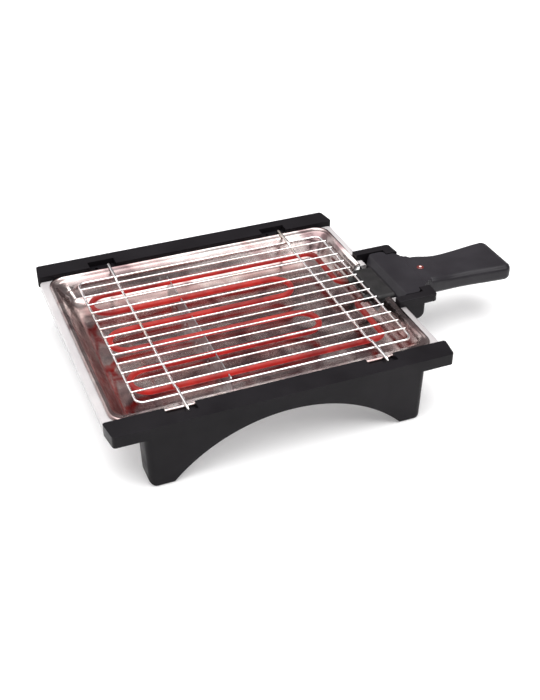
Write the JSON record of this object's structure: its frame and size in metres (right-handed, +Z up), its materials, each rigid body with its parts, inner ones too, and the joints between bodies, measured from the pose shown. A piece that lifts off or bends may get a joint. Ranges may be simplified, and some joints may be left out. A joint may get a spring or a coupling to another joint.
{
  "type": "table hibachi grill",
  "caption": "Electric table grill: two arched side frames, tub, lift-out drip pan, serpentine heating element on a plug-in handle unit, and a round-wire grill rack seated in rail notches.",
  "frame": {"origin": "middle of the footprint at table level, halfway between the rails' left ends and the grip's far end and midway between the rails' outer faces", "axes": "+X towards the handle grip, +Y towards the back rail, +Z up"},
  "size_m": [0.5659, 0.364, 0.0815],
  "materials": {
    "charcoal_plastic": "fine satin texture",
    "zinc_steel": "zinc plated",
    "rubber": "matt black",
    "tub_steel": "light grey enamel",
    "pan_steel": "polished and drawn sheet",
    "element_sheath": "oxidised sheath, red when hot",
    "shroud_steel": "black heat-proof paint",
    "black_sleeve": "heat-proof sleeve",
    "red_lens": "clear red",
    "lamp_glass": "small neon lamp",
    "switch_plastic": "moulded black",
    "ceramic": "unglazed steatite",
    "brass": "bare",
    "lead_insulation": "silicone sleeve",
    "chromed_wire": "bright chrome plate"
  },
  "bodies": {
    "base": {"front_side_frame": "charcoal_plastic", "back_side_frame": "charcoal_plastic", "front_inner_cover": "charcoal_plastic", "back_inner_cover": "charcoal_plastic", "front_frame_screws": "zinc_steel", "back_frame_screws": "zinc_steel", "front_cover_screws": "zinc_steel", "back_cover_screws": "zinc_steel", "foot_front_left": "rubber", "foot_front_right": "rubber", "foot_back_left": "rubber", "foot_back_right": "rubber", "base_tub": "tub_steel", "cradle": "charcoal_plastic", "cradle_screws": "zinc_steel"},
    "pan": {"drip_pan": "pan_steel"},
    "heater": {"heating_element": "element_sheath", "cold_sleeves": "black_sleeve", "element_shroud": "shroud_steel", "element_comb": "zinc_steel", "handle_upper": "charcoal_plastic", "handle_lower": "charcoal_plastic", "handle_screws": "zinc_steel", "pilot_lens": "red_lens", "pilot_lamp": "lamp_glass", "safety_switch": "switch_plastic", "element_plate": "zinc_steel", "thermal_cutout": "zinc_steel", "element_bushes": "ceramic", "element_pins": "brass", "terminal_block": "ceramic", "terminal_clamps": "brass", "lead_wires": "lead_insulation", "cord_gland": "rubber"},
    "plunger": {"safety_plunger": "switch_plastic"},
    "rack": {"rack_frame": "chromed_wire", "rack_rods": "chromed_wire", "rack_supports": "chromed_wire"}
  },
  "joints": [
    {"name": "pan_lift", "type": "slide", "parent": "base", "child": "pan", "axis": [0, 0, 1], "range_m": [0, 0.06]},
    {"name": "heater_lift", "type": "slide", "parent": "pan", "child": "heater", "axis": [0, 0, 1], "range_m": [0, 0.06]},
    {"name": "rack_lift", "type": "slide", "parent": "heater", "child": "rack", "axis": [0, 0, 1], "range_m": [0, 0.06]},
    {"name": "plunger_slide", "type": "slide", "parent": "heater", "child": "plunger", "axis": [0, 0, -1], "range_m": [0, 0.003]}
  ],
  "couplings": [
    {"joint": "plunger_slide", "follows": "heater_lift", "ratio": 0.05}
  ]
}
